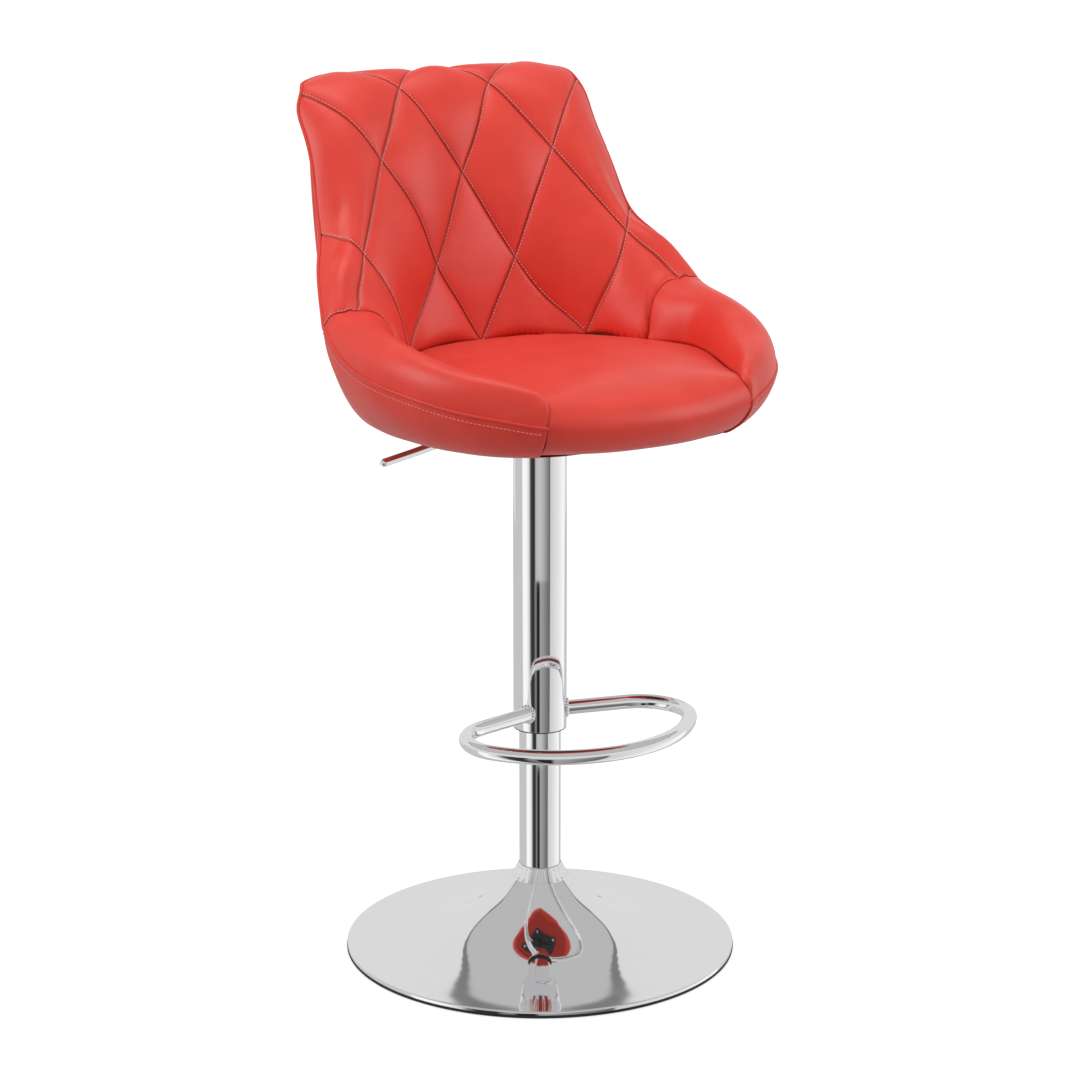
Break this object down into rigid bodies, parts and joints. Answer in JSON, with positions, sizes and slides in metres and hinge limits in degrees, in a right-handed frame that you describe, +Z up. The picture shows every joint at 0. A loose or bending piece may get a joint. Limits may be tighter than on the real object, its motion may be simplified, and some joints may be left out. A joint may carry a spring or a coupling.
{
  "type": "adjustable swivel stool",
  "caption": "Quilted bucket-seat bar stool that turns and rises on a gas spring, with a footrest loop, release lever and trumpet base.",
  "frame": {"origin": "on the column's axis, at the floor", "axes": "+Z up along the column; the sitter faces -Y; +X is at the sitter's left, the release lever points to -X"},
  "size_m": [0.4374, 0.4402, 0.8561],
  "materials": {
    "chrome": "polished",
    "rubber": "matte",
    "steel": "satin",
    "bearing_steel": "polished",
    "zinc": "satin",
    "black_plastic": "satin",
    "black_paint": "satin",
    "under_cloth": "matte",
    "plywood": "matte",
    "upholstery": "satin",
    "piping": "satin"
  },
  "bodies": {
    "base": {"base_disc": "chrome", "edge_ring": "rubber", "base_ballast": "steel", "base_hub": "steel", "column_flange": "steel", "base_bolts": "zinc", "base_nuts": "zinc", "base_collar": "chrome", "column_tube": "chrome", "column_foot": "steel", "bearing_washer_lower": "bearing_steel", "guide_bush": "black_plastic"},
    "rotor": {"piston_rod": "bearing_steel", "piston": "steel", "bearing_balls": "bearing_steel", "bearing_washer_upper": "bearing_steel", "bearing_ring": "bearing_steel", "retaining_clip": "bearing_steel", "bump_stop": "rubber"},
    "carriage": {"gas_cylinder": "black_paint", "cylinder_gland": "steel", "valve_body": "steel", "cover_tube": "chrome", "cover_bush": "black_plastic", "cover_cap": "black_plastic", "footrest_loop": "chrome", "seat_plate": "black_paint", "seat_bolts": "zinc", "bolt_washers": "zinc", "tee_nuts": "zinc", "dust_cover": "under_cloth", "seat_board": "plywood", "back_board": "plywood", "seat_cushion": "upholstery", "bolster_left": "upholstery", "bolster_right": "upholstery", "back_pad": "upholstery", "outer_cover": "upholstery", "welt": "piping"},
    "lever": {"lever": "chrome", "lever_pin": "bearing_steel"},
    "release_pin": {"release_pin": "bearing_steel"}
  },
  "joints": [
    {"name": "swivel", "type": "hinge", "parent": "base", "child": "rotor", "pos_m": [0, 0, 0.3], "axis": [0, 0, 1], "continuous": true},
    {"name": "height", "type": "slide", "parent": "rotor", "child": "carriage", "axis": [0, 0, 1], "range_m": [0, 0.21]},
    {"name": "lever_pull", "type": "hinge", "parent": "carriage", "child": "lever", "pos_m": [-0.038, 0, 0.527], "axis": [0, 1, 0], "range_deg": [0, 6], "stiffness_Nm_per_rad": 2, "springref_deg": -5.73},
    {"name": "pin_press", "type": "slide", "parent": "carriage", "child": "release_pin", "axis": [0, 0, -1], "range_m": [0, 0.004]}
  ],
  "couplings": [
    {"joint": "pin_press", "follows": "lever_pull", "m_per_rad": 0.038}
  ]
}
